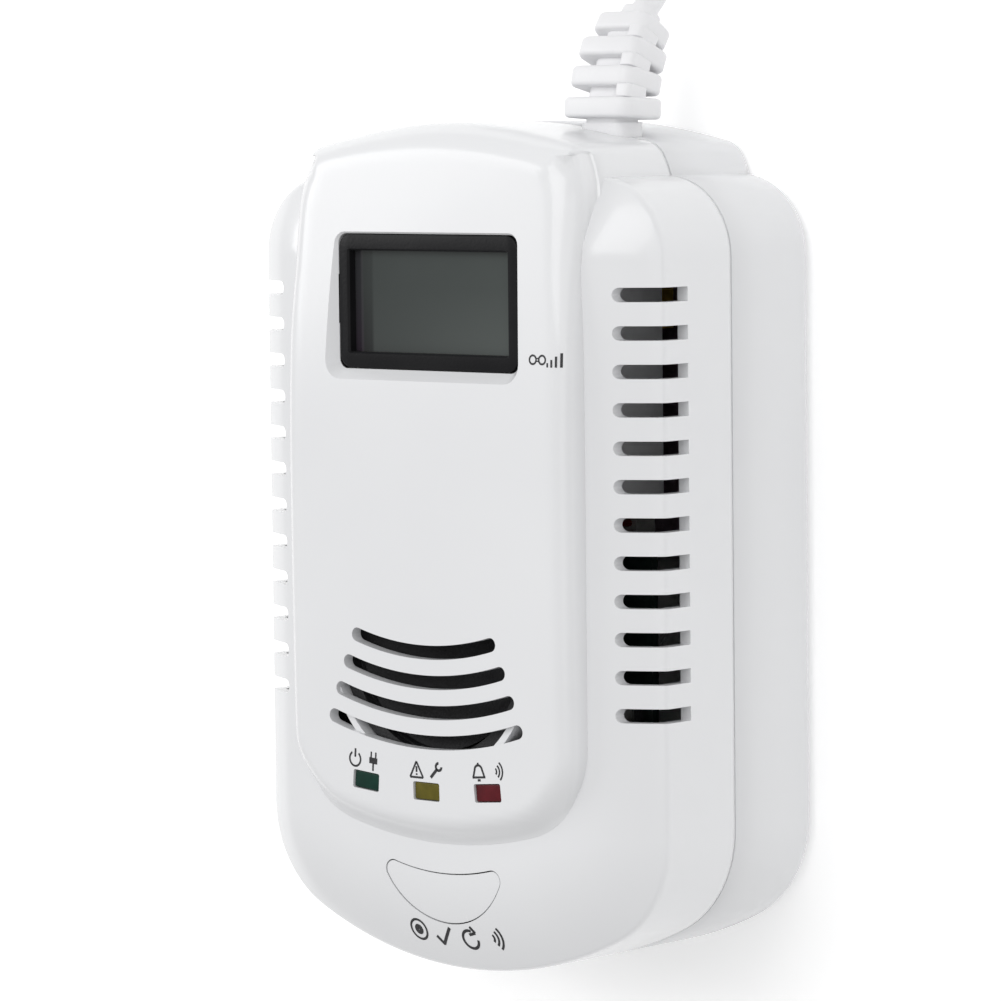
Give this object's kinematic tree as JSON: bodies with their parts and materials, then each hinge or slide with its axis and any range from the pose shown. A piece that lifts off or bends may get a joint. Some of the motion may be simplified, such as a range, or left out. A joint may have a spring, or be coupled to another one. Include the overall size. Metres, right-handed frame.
{
  "type": "carbon monoxide detector",
  "caption": "Wall-mounted carbon monoxide alarm with a digital display, side vents, curved sounder grille, indicator windows, test button and mains lead.",
  "frame": {"origin": "centre of the flat back's outline, on the back face, with the alarm lying on its back", "axes": "+X to the alarm's right, +Y towards its cord end, +Z out of the front panel"},
  "size_m": [0.1062, 0.2705, 0.0504],
  "materials": {
    "white_abs": "gloss moulded ABS",
    "white_pvc": "soft satin PVC",
    "pale_plastic": "satin moulded nylon",
    "black_plastic": "satin moulded",
    "black_rubber": "matt",
    "display_glass": "gloss liquid crystal glass",
    "green_lens": "tinted epoxy",
    "yellow_lens": "tinted epoxy",
    "red_lens": "tinted epoxy",
    "screw_steel": "zinc plated",
    "sensor_steel": "stainless",
    "magnet_steel": "dull plated",
    "cone_paper": "treated paper",
    "green_board": "solder mask",
    "brown_board": "phenolic paper laminate",
    "yellow_tape": "polyester",
    "capacitor_sleeve": "shrink sleeve",
    "blue_epoxy": "dipped epoxy",
    "fuse_glass": "clear",
    "terminal_green": "moulded nylon",
    "wire_sleeve": "PVC insulation",
    "pin_brass": "nickel brass"
  },
  "bodies": {
    "housing": {"rear_cover": "white_abs", "front_cover": "white_abs", "housing_screws": "screw_steel", "lcd_bezel": "black_plastic", "lcd_glass": "display_glass", "lcd_holder": "pale_plastic", "zebra_strips": "black_rubber", "main_board": "green_board", "main_board_screws": "screw_steel", "control_chips": "black_plastic", "led_green": "green_lens", "led_yellow": "yellow_lens", "led_red": "red_lens", "led_leads": "screw_steel", "switch_body": "black_plastic", "sensor_base": "black_plastic", "sensor_can": "sensor_steel", "sensor_mesh": "sensor_steel", "sounder_frame": "black_plastic", "sounder_cone": "cone_paper", "sounder_magnet": "magnet_steel", "sounder_gasket": "black_rubber", "sounder_wires": "wire_sleeve", "power_board": "brown_board", "power_board_screws": "screw_steel", "transformer_core": "magnet_steel", "transformer_winding": "yellow_tape", "transformer_base": "black_plastic", "smoothing_capacitors": "capacitor_sleeve", "film_capacitor": "yellow_tape", "varistor": "blue_epoxy", "fuse_tube": "fuse_glass", "fuse_clips": "screw_steel", "rectifier_diodes": "black_plastic", "terminal_block": "terminal_green", "mains_wires": "wire_sleeve", "power_header": "pale_plastic", "display_header": "pale_plastic", "board_harness": "wire_sleeve", "strain_relief": "white_pvc", "cord_run": "white_pvc", "cord_tail": "white_pvc", "cord_coil": "white_pvc", "cord_tie": "black_rubber", "plug_body": "white_pvc", "plug_pins": "pin_brass"},
    "button": {"test_button": "white_abs"},
    "plunger": {"switch_plunger": "black_plastic"}
  },
  "joints": [
    {"name": "button_press", "type": "slide", "parent": "housing", "child": "button", "axis": [0, 0, -1], "range_m": [0, 0.0005], "stiffness_N_per_m": 400},
    {"name": "plunger_press", "type": "slide", "parent": "housing", "child": "plunger", "axis": [0, 0, -1], "range_m": [0, 0.0005]}
  ],
  "couplings": [
    {"joint": "plunger_press", "follows": "button_press", "ratio": 1}
  ]
}
